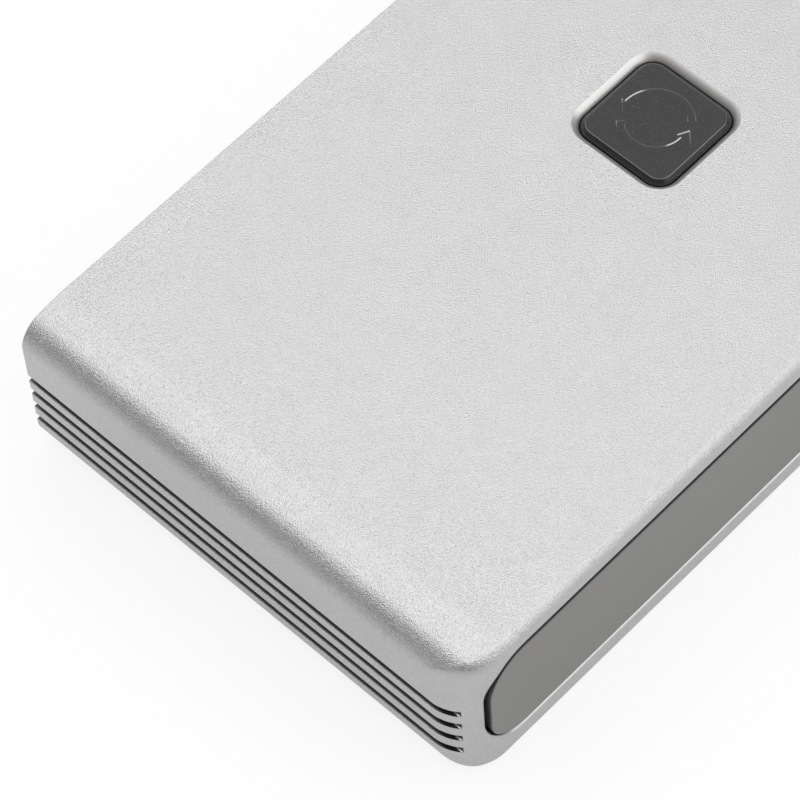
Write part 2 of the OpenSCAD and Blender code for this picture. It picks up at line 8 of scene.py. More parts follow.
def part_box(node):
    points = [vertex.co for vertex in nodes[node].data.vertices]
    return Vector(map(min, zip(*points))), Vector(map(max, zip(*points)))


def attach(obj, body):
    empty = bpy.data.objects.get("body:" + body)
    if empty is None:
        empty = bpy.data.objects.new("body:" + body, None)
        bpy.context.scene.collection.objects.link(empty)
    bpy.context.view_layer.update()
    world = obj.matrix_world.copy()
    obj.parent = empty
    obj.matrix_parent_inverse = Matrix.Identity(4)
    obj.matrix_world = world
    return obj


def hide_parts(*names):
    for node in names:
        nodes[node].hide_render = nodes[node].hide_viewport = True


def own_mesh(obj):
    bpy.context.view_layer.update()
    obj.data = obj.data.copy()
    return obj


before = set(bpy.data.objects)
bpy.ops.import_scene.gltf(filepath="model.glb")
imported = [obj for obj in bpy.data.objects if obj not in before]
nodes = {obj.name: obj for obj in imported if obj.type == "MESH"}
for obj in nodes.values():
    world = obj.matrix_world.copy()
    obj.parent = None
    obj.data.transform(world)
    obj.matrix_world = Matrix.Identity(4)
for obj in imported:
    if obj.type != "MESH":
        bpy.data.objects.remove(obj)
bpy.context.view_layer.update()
scene = bpy.context.scene
mm = 0.001


# Circuit board: a green fibreglass board with a glossy solder mask over its copper tracks.
# It is cut to size with slots for the socket legs, and its two side edges slide into rails.

class Wire:
    """One socket of a finish: sums on it add Math nodes, and node() adds any other node."""

    def __init__(self, tree, socket):
        self.tree = tree
        self.socket = socket

    def node(self, kind, settings, inputs, output=0):
        made = self.tree.nodes.new(kind)
        for name, value in settings.items():
            setattr(made, name, value)
        for name, value in inputs.items():
            if isinstance(value, Wire):
                self.tree.links.new(value.socket, made.inputs[name])
            else:
                made.inputs[name].default_value = value
        return Wire(self.tree, made.outputs[output])

    def math(self, operation, a, b):
        return self.node("ShaderNodeMath", {"operation": operation}, {0: a, 1: b})

    def __add__(self, other):
        return self.math("ADD", self, other)

    def __radd__(self, other):
        return self.math("ADD", other, self)

    def __sub__(self, other):
        return self.math("SUBTRACT", self, other)

    def __rsub__(self, other):
        return self.math("SUBTRACT", other, self)

    def __mul__(self, other):
        return self.math("MULTIPLY", self, other)

    def __rmul__(self, other):
        return self.math("MULTIPLY", other, self)

    def __gt__(self, other):
        return self.math("GREATER_THAN", self, other)


class Finish:
    """A new material: its shader, and its place on the piece as a wire."""

    def __init__(self, name, **fixed):
        self.material = bpy.data.materials.new(name)
        self.material.use_nodes = True
        self.tree = self.material.node_tree
        self.shader = self.tree.nodes["Principled BSDF"]
        coordinates = self.tree.nodes.new("ShaderNodeTexCoord")
        self.place = Wire(self.tree, coordinates.outputs["Object"])
        for socket, value in fixed.items():
            self.shader.inputs[socket.replace("_", " ")].default_value = value

    def feed(self, socket, wire):
        self.tree.links.new(wire.socket, self.shader.inputs[socket])

    def grain(self, size, detail=2.0, stretch=(1, 1, 1)):
        """Noise from 0 to 1 whose marks are about this size, drawn out by the stretch."""
        scaled = self.place.node(
            "ShaderNodeVectorMath", {"operation": "DIVIDE"}, {0: self.place, 1: stretch})
        return scaled.node(
            "ShaderNodeTexNoise", {}, {"Vector": scaled, "Scale": 1 / size, "Detail": detail})

    def axis(self, letter):
        """The place along one axis."""
        return self.place.node("ShaderNodeSeparateXYZ", {}, {"Vector": self.place}, output=letter)

    def blend(self, share, first, second):
        return share.node("ShaderNodeMix", {"data_type": "RGBA"}, {0: share, 6: first, 7: second}, output=2)

    def relief(self, height, depth):
        bump = height.node("ShaderNodeBump", {}, {"Height": height, "Distance": depth})
        self.feed("Normal", bump)


def colour(red, green, blue):
    return (red, green, blue, 1.0)


def grey(level):
    return colour(level, level, level)


def mottled(name, dark, light, size, rough, depth, **fixed):
    """A finish whose colour, gloss and surface all follow one grain."""
    made = Finish(name, **fixed)
    grain = made.grain(size, detail=3.0)
    made.feed("Base Color", made.blend(grain, dark, light))
    made.feed("Roughness", rough[0] + (rough[1] - rough[0]) * grain)
    made.relief(grain, depth)
    return made.material


def dress(material, *names):
    """Gives CAD nodes their finish."""
    for name in names:
        for slot in nodes[name].material_slots:
            slot.material = material


board = Finish("board_solder_mask", IOR=1.5, Coat_Roughness=0.1, Coat_Weight=0.4)
track_pitch = 1.3 * mm
pitch_share = 0.3
track_gap = 0.08
track_h = 0.03 * mm
fields = board.place.node(
    "ShaderNodeTexVoronoi", {"feature": "DISTANCE_TO_EDGE", "distance": "EUCLIDEAN"},
    {"Vector": board.place, "Scale": pitch_share / track_pitch, "Randomness": 0.9})
copper = fields > track_gap
mask_green = colour(0.012, 0.075, 0.03)
track_green = colour(0.02, 0.13, 0.055)
board.feed("Base Color", board.blend(copper, mask_green, track_green))
board.feed("Roughness", 0.22 + 0.15 * board.grain(0.8 * mm))
board.relief(copper, track_h)
dress(board.material, "main_board")


# Parts soldered to the board: moulded chips, a finned heat sink on a soft pad, a crystal in its can,
# an inductor, capacitor cans and small ceramic chips, all placed by machine and reflowed.

chip_epoxy = mottled("chip_epoxy", colour(0.016, 0.016, 0.017), colour(0.034, 0.034, 0.036),
                     size=0.12 * mm, rough=(0.5, 0.7), depth=0.006 * mm)
dress(chip_epoxy, "switching_chip", "controller_chip", "regulator", "surge_arrays")
pad_silicone = mottled("pad_silicone", colour(0.3, 0.45, 0.55), colour(0.4, 0.55, 0.65),
                       size=0.3 * mm, rough=(0.6, 0.8), depth=0.01 * mm)
dress(pad_silicone, "thermal_pad")
black_aluminium = mottled("black_aluminium", colour(0.035, 0.035, 0.04), colour(0.07, 0.07, 0.075),
                          size=0.2 * mm, rough=(0.4, 0.5), depth=0.006 * mm, Metallic=0.8)
dress(black_aluminium, "heat_sink")
ferrite = mottled("ferrite", colour(0.06, 0.06, 0.068), colour(0.12, 0.12, 0.13),
                  size=0.15 * mm, rough=(0.6, 0.8), depth=0.012 * mm)
dress(ferrite, "inductor")
capacitor_can = mottled("capacitor_can", colour(0.6, 0.6, 0.62), colour(0.75, 0.75, 0.76),
                        size=0.3 * mm, rough=(0.25, 0.35), depth=0.003 * mm, Metallic=1.0)
dress(capacitor_can, "capacitors")
ceramic = mottled("ceramic", colour(0.36, 0.25, 0.14), colour(0.52, 0.4, 0.26),
                  size=0.1 * mm, rough=(0.4, 0.55), depth=0.004 * mm)
dress(ceramic, "chip_parts")


# Video sockets: folded steel shells plated with nickel, each round a black moulded insulator
# whose tongue carries two rows of gilt contacts. Their legs are soldered through the board.

sockets = ("input_1", "input_2", "input_3", "output")
shell_edge_r = 0.06 * mm
insulator_edge_r = 0.05 * mm
merge_reach = 0.002 * mm
edge_turn = math.radians(25)
flat_turn = math.radians(1)
along_y = (1, 9, 1)

plated_steel = Finish("plated_steel", Metallic=1.0)
rolled = plated_steel.grain(0.12 * mm, stretch=along_y)
plated_steel.feed("Base Color", plated_steel.blend(rolled, grey(0.55), colour(0.7, 0.69, 0.67)))
plated_steel.feed("Roughness", 0.2 + 0.14 * rolled)
plated_steel.relief(rolled, 0.002 * mm)
black_plastic = mottled("black_plastic", grey(0.014), grey(0.026),
                        size=0.16 * mm, rough=(0.42, 0.58), depth=0.008 * mm)
plated_brass = mottled("plated_brass", colour(0.78, 0.55, 0.2), colour(0.9, 0.68, 0.3),
                       size=0.2 * mm, rough=(0.2, 0.3), depth=0.002 * mm, Metallic=1.0)


def shape(name, bm, *materials):
    """A mesh object of the finished bmesh, smooth, with its finishes."""
    mesh = bpy.data.meshes.new(name)
    bm.to_mesh(mesh)
    bm.free()
    for material in materials:
        mesh.materials.append(material)
    mesh.shade_smooth()
    made = bpy.data.objects.new(name, mesh)
    scene.collection.objects.link(made)
    return made


def level(piece):
    """Keeps flat faces flat in the shading."""
    weights = piece.modifiers.new("level", "WEIGHTED_NORMAL")
    weights.keep_sharp = True


def soften(piece, width, segments=3):
    """Rounds the sharp edges a little, as blasting, paint or a mould does."""
    bevel = piece.modifiers.new("edges", "BEVEL")
    bevel.width = width
    bevel.segments = segments
    bevel.angle_limit = edge_turn
    bevel.use_clamp_overlap = False
    level(piece)


def fit(piece, body, slot, *replaced):
    """Fixes a piece to its body and hides the solids that it stands for. Its slot, the name of its finish,
    is not used.
    """
    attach(piece, body)
    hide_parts(*replaced)


def merged_copy(name):
    """The mesh of a solid, with its doubled points merged."""
    bm = bmesh.new()
    bm.from_mesh(nodes[name].data)
    bmesh.ops.remove_doubles(bm, verts=bm.verts[:], dist=merge_reach)
    return bm


def rounded(name, width, slot, material):
    """A copy of a solid of the case with its sharp edges rounded, standing for that solid."""
    bm = merged_copy(name)
    bmesh.ops.dissolve_limit(bm, angle_limit=flat_turn, verts=bm.verts[:], edges=bm.edges[:])
    piece = shape(name + "_rounded", bm, material)
    soften(piece, width, segments=2)
    fit(piece, "case", slot, name)


for socket in sockets:
    rounded(socket + "_shell", shell_edge_r, "plated_steel", plated_steel.material)
    rounded(socket + "_insulator", insulator_edge_r, "black_plastic", black_plastic)
    dress(plated_brass, socket + "_contacts")
dress(plated_steel.material, "crystal")


# Power socket: a black moulded block on the board's rear edge, with a round nose for the plug.
# A gilt centre pin stands in its bore.

power_edge_r = 0.15 * mm
rounded("power_socket_body", power_edge_r, "black_plastic", black_plastic)
dress(plated_brass, "power_socket_pin")


# Push switch: a black base with a steel snap dome, a white plunger and a folded steel cover.
# The plunger stands under the key and presses the dome flat when the key is pushed; here neither is moved.

white_plastic = mottled("white_plastic", colour(0.7, 0.7, 0.68), colour(0.8, 0.8, 0.78),
                        size=0.3 * mm, rough=(0.4, 0.5), depth=0.004 * mm)
dress(black_plastic, "push_switch_base")
dress(plated_steel.material, "push_switch_cover", "push_switch_terminals")
dress(white_plastic, "push_switch_plunger")

sharp_turn = math.radians(32)
dome = shape("push_switch_dome_sprung", merged_copy("push_switch_dome"), plated_steel.material)
dome.data.set_sharp_from_angle(angle=sharp_turn)
fit(dome, "case", "plated_steel", "push_switch_dome")
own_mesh(dome)


# Infrared receiver and indicator lamps: dark filter epoxy on three leads, and four pale cast lamps.
# They stand at the board's front edge and look out through the panel.

dark_epoxy = mottled("dark_epoxy", colour(0.03, 0.007, 0.011), colour(0.05, 0.013, 0.019),
                     size=0.4 * mm, rough=(0.08, 0.16), depth=0.002 * mm)
lamp_epoxy = mottled("lamp_epoxy", colour(0.72, 0.72, 0.66), colour(0.82, 0.82, 0.76),
                     size=0.3 * mm, rough=(0.2, 0.3), depth=0.002 * mm)
dress(dark_epoxy, "infrared_receiver")
dress(plated_steel.material, "infrared_leads")
dress(lamp_epoxy, "power_lamp", "input_1_lamp", "input_2_lamp", "input_3_lamp")


# Case sleeve: one aluminium extrusion, a flat tube from front to rear with four grooves along each end.
# Its front corners are milled round, it is bead-blasted and silver anodised, and the opening for the key
# is cut last with a bright bevel.

case_low, case_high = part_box("case_sleeve")
half = case_high.x
front = case_low.y
rear = case_high.y
underside = case_low.z
roof = case_high.z
roof_t = 2.2 * mm
floor_t = 2.4 * mm
end_t = 3.0 * mm
top_r = 3.2 * mm
shoulder_r = 18.0 * mm
shoulder_turn = math.radians(12)
bottom_r = 2.2 * mm
front_r = 5.0 * mm
mouth_r = 5.2 * mm
mouth_half = half - end_t
mouth_floor = underside + floor_t
mouth_roof = roof - roof_t
groove_n = 4
groove_h = 0.95 * mm
groove_pitch = 2.4 * mm
groove_depth = 1.1 * mm
groove_z = 3.5 * mm
groove_middles = [underside + groove_z + i * groove_pitch for i in range(groove_n)]
groove_edge_r = 0.12 * mm
groove_root_w = 0.14 * mm
groove_root_h = 0.07 * mm
groove_root_run = 4.0 * mm
groove_lit_depth = 0.4 * mm
touch = 0.001 * mm


def flat_face(bm, points):
    """A face through these corner points, which come back as its vertices."""
    corners = [bm.verts.new(point) for point in points]
    bm.faces.new(corners)
    return corners


def round_corners(bm, corners, reach, segments):
    """Rounds corners of a flat face, starting this far from each."""
    bmesh.ops.bevel(bm, geom=corners, offset=reach, offset_type="OFFSET", affect="VERTICES",
                    segments=segments, profile=0.5, material=-1, clamp_overlap=False)


def draw_out(bm, shift):
    """Extrudes all of a flat shape into a solid."""
    grown = bmesh.ops.extrude_face_region(bm, geom=bm.faces[:])
    moved = [part for part in grown["geom"] if isinstance(part, bmesh.types.BMVert)]
    bmesh.ops.translate(bm, verts=moved, vec=shift)
    bmesh.ops.recalc_face_normals(bm, faces=bm.faces[:])


def carve(piece, bm):
    """Cuts the bmesh's solids out of the piece."""
    cutter = shape("cutter", bm)
    cut = piece.modifiers.new("cut", "BOOLEAN")
    cut.object = cutter
    cut.solver = "EXACT"
    graph = bpy.context.evaluated_depsgraph_get()
    before = piece.data
    piece.data = bpy.data.meshes.new_from_object(piece.evaluated_get(graph))
    piece.modifiers.remove(cut)
    piece.data.name = piece.name
    bpy.data.objects.remove(cutter)
    bpy.data.meshes.remove(before)


def put_back(piece, bm):
    """Gives a piece its edited mesh, smooth between its sharp edges."""
    bm.to_mesh(piece.data)
    bm.free()
    piece.data.shade_smooth()
    piece.data.set_sharp_from_angle(angle=sharp_turn)
    level(piece)


def side_corners(side):
    """The corner points of one end of the sleeve's section, from the underside up."""
    run_x = half - top_r * (1 - math.sin(shoulder_turn))
    edge_drop = shoulder_r - (shoulder_r - top_r) * math.cos(shoulder_turn)
    run_z = roof - edge_drop + top_r * math.cos(shoulder_turn)
    slope = math.tan(shoulder_turn)
    root_x = half - groove_depth
    points = [(half, underside)]
    for groove in groove_middles:
        low = groove - groove_h / 2
        high = low + groove_h
        points += [(half, low), (root_x + groove_root_w, low), (root_x, low + groove_root_h),
                   (root_x, high), (half, high)]
    points.append((half, run_z - (half - run_x) * slope))
    points.append((run_x - (roof - run_z) / slope, roof))
    return [(side * x, 0, z) for x, z in points]


def inset_steps(bm, face, steps):
    """Insets a face in steps, each an inset and a move along Y, and leaves it open."""
    for inset, move in steps:
        bmesh.ops.inset_region(bm, faces=[face], thickness=inset, use_boundary=True, use_even_offset=True)
        bmesh.ops.translate(bm, verts=face.verts[:], vec=(0, move, 0))
    bmesh.ops.delete(bm, geom=[face], context="FACES_ONLY")


def eased(value, start, end):
    """From 0 at the start to 1 at the end, with a smooth run between."""
    share = max(0, min(1, (value - start) / (end - start)))
    return share * share * (3 - 2 * share)


# The section with its rims. Each vertex keeps the pull that its rim gave it, by which the front rim grows.

rim_r = 0.09 * mm
front_rim_r = 0.6 * mm
corner_rim_r = 1.4 * mm
corner_rim_start = half - 9.0 * mm
corner_rim_full = half - 4.0 * mm
rim_low = underside + 11.5 * mm
rim_high = underside + 17.0 * mm
lip_r = 0.34 * mm
lip_half = mouth_half + lip_r
section_merge = 0.02 * mm
quarter_n = 6
quarter = [(math.pi / 2 * i / quarter_n, math.pi / 2 * (i + 1) / quarter_n) for i in range(quarter_n)]
top_reach = top_r * math.tan(math.pi / 4 - shoulder_turn / 2)
shoulder_reach = shoulder_r * math.tan(shoulder_turn / 2)

bm = bmesh.new()
root = bm.verts.layers.float_vector.new("root")
pull = bm.verts.layers.float_vector.new("pull")
right = side_corners(1)
left = side_corners(-1)
corners = flat_face(bm, right + left[::-1])
last = len(right) - 1
groove_edges = [vert for vert in corners
                if half - abs(vert.co.x) < touch and underside < vert.co.z < rim_low]
round_corners(bm, [corners[0], corners[-1]], bottom_r, segments=10)
round_corners(bm, [corners[last - 1], corners[last + 2]], top_reach, segments=18)
round_corners(bm, [corners[last], corners[last + 1]], shoulder_reach, segments=8)
round_corners(bm, groove_edges, groove_edge_r, segments=3)
bmesh.ops.remove_doubles(bm, verts=bm.verts[:], dist=section_merge)
for vert in bm.verts:
    vert[root] = vert.co
bmesh.ops.translate(bm, verts=bm.verts[:], vec=(0, rim_r, 0))
bm.faces.ensure_lookup_table()
inset_steps(bm, bm.faces[0], [(rim_r * (math.cos(a) - math.cos(b)), rim_r * (math.sin(a) - math.sin(b)))
                              for a, b in quarter])
for vert in bm.verts:
    vert[pull] = vert.co - vert[root]
lips = flat_face(bm, [(-lip_half, 0, mouth_floor - lip_r), (lip_half, 0, mouth_floor - lip_r),
                      (lip_half, 0, mouth_roof + lip_r), (-lip_half, 0, mouth_roof + lip_r)])
round_corners(bm, lips, mouth_r + lip_r, segments=18)
mouth = next(face for face in bm.faces if all(abs(vert.co.y) < touch for vert in face.verts))
inset_steps(bm, mouth, [(lip_r * (math.sin(b) - math.sin(a)), lip_r * (math.cos(a) - math.cos(b)))
                        for a, b in quarter])
facing = [edge for edge in bm.edges if all(abs(vert.co.y) < touch for vert in edge.verts)]
bmesh.ops.triangle_fill(bm, use_beauty=True, use_dissolve=False, edges=facing)

# The section is cut into upright strips, drawn out to the rear and bent round the front corners.

corner_n = 14
cut_slack = 0.005 * mm
for i in range(corner_n):
    cut_x = half - front_r * (1 - math.sin(math.pi / 2 * i / corner_n))
    for x in (-cut_x, cut_x):
        everything = bm.verts[:] + bm.edges[:] + bm.faces[:]
        bmesh.ops.bisect_plane(bm, geom=everything, dist=cut_slack, plane_co=(x, 0, 0), plane_no=(1, 0, 0))
grown = bmesh.ops.extrude_face_region(bm, geom=bm.faces[:])
at_rear = {part for part in grown["geom"] if isinstance(part, bmesh.types.BMVert)}
for vert in bm.verts:
    if vert in at_rear:
        vert.co.y = rear - vert.co.y
        continue
    outward = eased(abs(vert.co.x), corner_rim_start, corner_rim_full)
    rim_here = front_rim_r + (corner_rim_r - front_rim_r) * outward
    growth = (rim_here / rim_r - 1) * eased(vert.co.z, rim_low, rim_high)
    vert.co += vert[pull] * growth
    past = max(0, abs(vert.co.x) - (half - front_r))
    bend = front_r - math.sqrt(max(0, front_r ** 2 - past ** 2))
    vert.co.y += front + bend
bmesh.ops.recalc_face_normals(bm, faces=bm.faces[:])

# Its finishes: blasted outside and bright where a cutter went last; the grooves carry painted shade, black
# inside and lighter towards the lips, and a root that is bright metal only at its front end.

aluminium = Finish("anodised_aluminium", Metallic=1.0)
blasted = 0.65 * aluminium.grain(0.13 * mm) + 0.35 * aluminium.grain(0.27 * mm)
broad = aluminium.grain(5 * mm)
speckle = 1.9 * (blasted - 0.5) + 0.2 * broad + 0.4
aluminium.feed("Base Color", aluminium.blend(speckle, grey(0.415), grey(0.575)))
aluminium.feed("Roughness", 0.28 + 0.12 * blasted)
aluminium.relief(blasted, 0.125 * mm)

along_z = (1, 1, 30)
bright_cut = Finish("bright_cut_aluminium", Metallic=1.0)
turned = bright_cut.grain(0.12 * mm, stretch=along_z)
bright_cut.feed("Base Color", bright_cut.blend(
    turned, colour(0.58, 0.575, 0.565), colour(0.7, 0.695, 0.68)))
bright_cut.feed("Roughness", 0.42 + 0.1 * turned)
bright_cut.relief(turned, 0.003 * mm)

# Groove walls: painted shade, black deep inside and lighter towards the lips, where more light gets in.
groove_painted_shade = colour(0.01, 0.01, 0.011)
groove_wall_painted_shade = Finish("groove_wall_painted_shade")
across = groove_wall_painted_shade.axis("X")
depth_in = half - across.node("ShaderNodeMath", {"operation": "ABSOLUTE"}, {0: across})
groove_wall_painted_shade.feed("Base Color", groove_wall_painted_shade.blend(
    depth_in * (1 / groove_lit_depth), colour(0.2, 0.19, 0.18), groove_painted_shade))
groove_wall_painted_shade.feed("Roughness", 0.5 + 0.15 * groove_wall_painted_shade.grain(0.15 * mm))

# Groove root: painted shade along most of its length, and bright bare metal only at the front end, standing
# in for the light that reaches it there.
groove_root = Finish("groove_root", Roughness=0.3)
at_front = front + groove_root_run - groove_root.axis("Y") > 0
groove_root.feed("Base Color", groove_root.blend(at_front, groove_painted_shade, grey(0.9)))
groove_root.feed("Metallic", at_front)
sleeve = shape("case_sleeve_finished", bm, aluminium.material, bright_cut.material, groove_wall_painted_shade.material,
               groove_root.material)
blasted_index, bright_index, painted_shade_index, root_index = range(4)

# The key's opening, whose bevel is an arc that starts steep and ends shallow, and the seats of the feet.

key_w = 12.0 * mm
key_r = 2.0 * mm
key_gap = 0.15 * mm
opening_bevel = 0.74 * mm
steepest = math.radians(58)
shallowest = math.radians(32)
bevel_r = opening_bevel / (math.sin(steepest) - math.sin(shallowest))
bevel_depth = bevel_r * (math.cos(shallowest) - math.cos(steepest))
bevel_n = 8
opening_w = key_w + 2 * key_gap
opening_r = key_r + key_gap
opening_reach = opening_w / 2 + opening_bevel
spare = 1.0 * mm


def square_points(width, z):
    side = width / 2
    return [(-side, -side, z), (side, -side, z), (side, side, z), (-side, side, z)]


bm = bmesh.new()
opening = flat_face(bm, square_points(opening_w, roof - roof_t - spare))
round_corners(bm, opening, opening_r, segments=10)
draw_out(bm, (0, 0, roof_t - bevel_depth + spare))
upper = [face for face in bm.faces if face.normal.z > 0.5]
tilts = [steepest + (shallowest - steepest) * i / bevel_n for i in range(bevel_n + 1)]
flare = [(bevel_r * (math.cos(b) - math.cos(a)), bevel_r * (math.sin(a) - math.sin(b)))
         for a, b in zip(tilts, tilts[1:])]
core = opening_w / 2 - opening_r
for rise, spread in flare + [(spare, 0)]:
    bmesh.ops.inset_region(bm, faces=upper, thickness=0.0, use_even_offset=True)
    lifted = {vert for face in upper for vert in face.verts}
    for vert in lifted:
        centre = Vector((max(-core, min(core, vert.co.x)), max(-core, min(core, vert.co.y)), 0))
        out = (Vector((vert.co.x, vert.co.y, 0)) - centre).normalized()
        vert.co += out * spread + Vector((0, 0, rise))
bmesh.ops.recalc_face_normals(bm, faces=bm.faces[:])
carve(sleeve, bm)

feet = ("foot_front_left", "foot_front_right", "foot_rear_left", "foot_rear_right")
seat_gap = 0.05 * mm
bm = bmesh.new()
for name in feet:
    low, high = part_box(name)
    seat_r = (high.x - low.x) / 2 + seat_gap
    bmesh.ops.create_cone(bm, cap_ends=True, segments=48, radius1=seat_r, radius2=seat_r,
                          depth=high.z - low.z, matrix=Matrix.Translation((low + high) / 2))
carve(sleeve, bm)

bm = bmesh.new()
bm.from_mesh(sleeve.data)
slack = 0.02 * mm
for face in bm.faces:
    middle = face.calc_center_median()
    depth = half - abs(middle.x)
    slope = face.normal.z
    in_opening = max(abs(middle.x), abs(middle.y)) < opening_reach and mouth_roof < middle.z < roof - touch
    on_lower_lip = abs(middle.z - mouth_floor) < lip_r and middle.y < front + lip_r and 0.2 < slope < 0.9
    by_groove = any(abs(middle.z - groove) < groove_h / 2 + slack for groove in groove_middles)
    in_groove = by_groove and slack < depth < groove_depth + slack and abs(face.normal.y) < 0.5
    at_root = in_groove and depth > groove_depth - groove_root_w and 0.5 < slope < 0.97
    face.material_index = blasted_index
    if in_opening or on_lower_lip:
        face.material_index = bright_index
    # Groove faces take the painted shade, and the root takes its own painted light and shade.
    if in_groove:
        face.material_index = root_index if at_root else painted_shade_index
put_back(sleeve, bm)
fit(sleeve, "case", "anodised_aluminium", "case_sleeve")


# Select key: moulded dark grey plastic with a fine spark texture and painted glints, a bevelled edge and
# two sunk arrows.
# Its flange is held under the roof, and its stem stands on the push switch.

key_low, key_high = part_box("select_button")
key_top = key_high.z
key_bevel = 0.5 * mm
key_edge_r = 0.06 * mm
flange_w = key_high.x - key_low.x
flange_reach = (flange_w - key_w) / 2
flange_t = 1.0 * mm
flange_gap = 0.05 * mm
flange_top = mouth_roof - flange_gap
flange_low = flange_top - flange_t
stem_r = 2.5 * mm

bm = bmesh.new()
flange = flat_face(bm, square_points(flange_w, flange_low))
round_corners(bm, flange, key_r + flange_reach, segments=12)
draw_out(bm, (0, 0, flange_t))
upper = [face for face in bm.faces if face.normal.z > 0.5]
bmesh.ops.inset_region(bm, faces=upper, thickness=flange_reach, use_even_offset=True)
grown = bmesh.ops.extrude_face_region(bm, geom=upper)
raised = [part for part in grown["geom"] if isinstance(part, bmesh.types.BMVert)]
bmesh.ops.translate(bm, verts=raised, vec=(0, 0, key_top - flange_top))
bmesh.ops.delete(bm, geom=upper, context="FACES_ONLY")
top_edges = [edge for edge in bm.edges if all(key_top - vert.co.z < slack for vert in edge.verts)]
bmesh.ops.bevel(bm, geom=top_edges, offset=key_bevel, offset_type="OFFSET", affect="EDGES", segments=1,
                profile=0.5, material=-1, clamp_overlap=False)
bmesh.ops.recalc_face_normals(bm, faces=bm.faces[:])
bm.normal_update()
sharp_edges = [edge for edge in bm.edges if edge.calc_face_angle(0) > edge_turn]
bmesh.ops.bevel(bm, geom=sharp_edges, offset=key_edge_r, offset_type="OFFSET", affect="EDGES", segments=3,
                profile=0.5, material=-1, clamp_overlap=False)

key_plastic = Finish("key_plastic", IOR=1.42)
spark = key_plastic.grain(0.11 * mm, detail=3.0)
# Lighter specks in the base colour are painted glints on the spark texture.
painted_glint = key_plastic.grain(0.12 * mm, detail=0.0) > 0.74
key_grey = key_plastic.blend(spark, colour(0.008, 0.008, 0.0085), colour(0.014, 0.014, 0.0145))
key_plastic.feed("Base Color", key_plastic.blend(painted_glint, key_grey, grey(0.055)))
key_plastic.feed("Roughness", 0.3 + 0.12 * spark)
key_plastic.relief(spark, 0.006 * mm)
arrow_polish = mottled("key_polished", grey(0.32), grey(0.44),
                       size=0.3 * mm, rough=(0.16, 0.24), depth=0.001 * mm, Metallic=1.0)
edge_polish = mottled("key_arris", grey(0.08), grey(0.13),
                      size=0.3 * mm, rough=(0.2, 0.3), depth=0.001 * mm, Metallic=1.0)
key = shape("select_key", bm, key_plastic.material, arrow_polish, edge_polish)
plain_index, arrow_index, edge_index = range(3)

ring_r = 3.6 * mm
ring_band = 0.9 * mm
ring_depth = 0.1 * mm
wall_draft = 0.1 * mm
arrow_w = 1.9 * mm
arrow_n = 40
arrow_arc = math.radians(142)
tail_turn = math.radians(130)
head_turn = math.radians(21)
arrows_margin = 0.2 * mm
arrows_reach = ring_r + arrow_w / 2 + arrows_margin


def on_ring(radius, angle):
    return (radius * math.cos(angle), radius * math.sin(angle), key_top)


arrows = bmesh.new()
for turn in (0, math.pi):
    angles = [tail_turn + turn + arrow_arc * i / arrow_n for i in range(arrow_n + 1)]
    head = [on_ring(ring_r + arrow_w / 2, angles[-1]), on_ring(ring_r, angles[-1] + head_turn),
            on_ring(ring_r - arrow_w / 2, angles[-1])]
    flat_face(arrows, [on_ring(ring_r + ring_band / 2, angle) for angle in angles] + head
              + [on_ring(ring_r - ring_band / 2, angle) for angle in reversed(angles)])
draw_out(arrows, (0, 0, spare))
sunk = [face for face in arrows.faces if face.normal.z < -0.5]
bmesh.ops.inset_region(arrows, faces=sunk, thickness=wall_draft, use_even_offset=True)
deepest = list({vert for face in sunk for vert in face.verts})
bmesh.ops.translate(arrows, verts=deepest, vec=(0, 0, -ring_depth))
carve(key, arrows)

bm = bmesh.new()
bm.from_mesh(key.data)
bmesh.ops.create_cone(bm, cap_ends=True, segments=40, radius1=stem_r, radius2=stem_r,
                      depth=flange_low - key_low.z,
                      matrix=Matrix.Translation((0, 0, (flange_low + key_low.z) / 2)))
for face in bm.faces:
    middle = face.calc_center_median()
    slope = face.normal.z
    near_top = middle.z > key_top - ring_depth
    by_arrows = middle.xy.length < arrows_reach
    face.material_index = plain_index
    if near_top and by_arrows and 0.2 < slope < 0.95:
        face.material_index = arrow_index
    if near_top and not by_arrows and 0.72 < slope < 0.995:
        face.material_index = edge_index
put_back(key, bm)
fit(key, "button", "key_plastic", "select_button")


# Rear panel: a black powder-coated steel plate, punched for the sockets and held by two screws
# in countersunk holes. The inputs' numbers and a mark for the output are printed on it in white ink.

plate_edge_r = 0.15 * mm
screw_edge_r = 0.05 * mm
powder_coat = mottled("black_powder_coat", colour(0.016, 0.016, 0.017), colour(0.03, 0.03, 0.032),
                      size=0.22 * mm, rough=(0.45, 0.6), depth=0.02 * mm)
rounded("rear_panel", plate_edge_r, "black_painted_plate", powder_coat)
screw_black = mottled("black_screw", colour(0.05, 0.05, 0.053), colour(0.1, 0.1, 0.105),
                      size=0.2 * mm, rough=(0.3, 0.42), depth=0.004 * mm, Metallic=0.9)
rounded("rear_screws", screw_edge_r, "black_screw", screw_black)

ink_white = mottled("ink_white", colour(0.55, 0.55, 0.54), colour(0.68, 0.68, 0.67),
                    size=0.12 * mm, rough=(0.5, 0.65), depth=0.002 * mm)
ink_t = 0.03 * mm
print_h = 2.0 * mm
figure_share = 0.7
font_size = print_h / figure_share
rear_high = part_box("rear_panel")[1]
facing_rear = Matrix(((-1, 0, 0), (0, 0, 1), (0, 1, 0))).to_4x4()


def printed(name, bm, socket):
    """A flat figure, drawn about the origin, as ink on the rear panel above a socket."""
    low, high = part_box(socket + "_shell")
    place = Matrix.Translation(((low.x + high.x) / 2, rear_high.y, (high.z + rear_high.z) / 2))
    bmesh.ops.remove_doubles(bm, verts=bm.verts[:], dist=touch)
    bmesh.ops.transform(bm, matrix=place @ facing_rear, verts=bm.verts[:])
    draw_out(bm, (0, ink_t, 0))
    ink = shape(name, bm, ink_white)
    ink.data.set_sharp_from_angle(angle=sharp_turn)
    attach(ink, "case")


